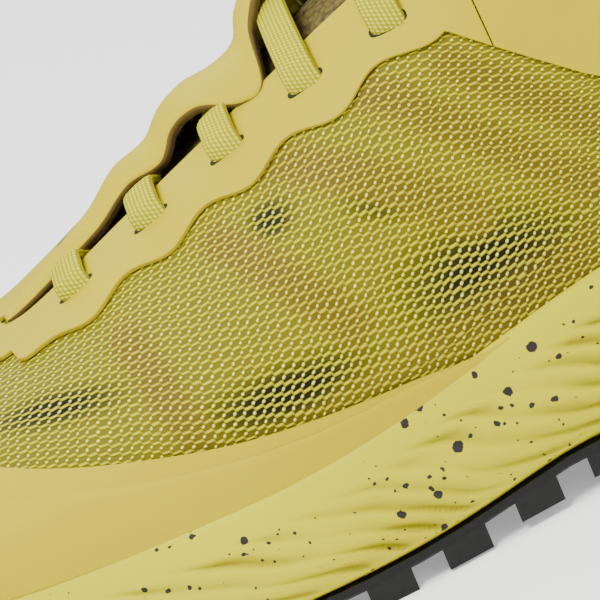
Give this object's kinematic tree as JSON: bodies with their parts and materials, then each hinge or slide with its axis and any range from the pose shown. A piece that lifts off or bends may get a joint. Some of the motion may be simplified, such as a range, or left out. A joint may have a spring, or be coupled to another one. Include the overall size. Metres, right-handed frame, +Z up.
{
  "type": "trail running shoe",
  "caption": "Low trail running shoe for the left foot with a woven mesh upper, film overlays, flat laces, speckled foam midsole and a lugged rubber outsole.",
  "frame": {"origin": "centre of the shoe's box at the floor", "axes": "toe towards -X, heel towards +X, outer side of the foot towards -Y, +Z up"},
  "size_m": [0.2918, 0.1126, 0.118],
  "materials": {
    "mesh": "open woven citron and tan yarn",
    "film": "thin matte polyurethane film",
    "foam": "moulded speckled foam",
    "tread": "moulded charcoal rubber",
    "lace": "flat woven lace",
    "lining": "knitted lining",
    "footbed": "brushed cover on foam"
  },
  "bodies": {
    "root": {"outsole": "tread", "midsole": "foam", "upper": "mesh", "insole": "footbed", "tongue": "lining", "collar_lining": "lining", "eyestay": "film", "quarter": "film", "mudguard": "film", "laces": "lace"}
  },
  "joints": []
}
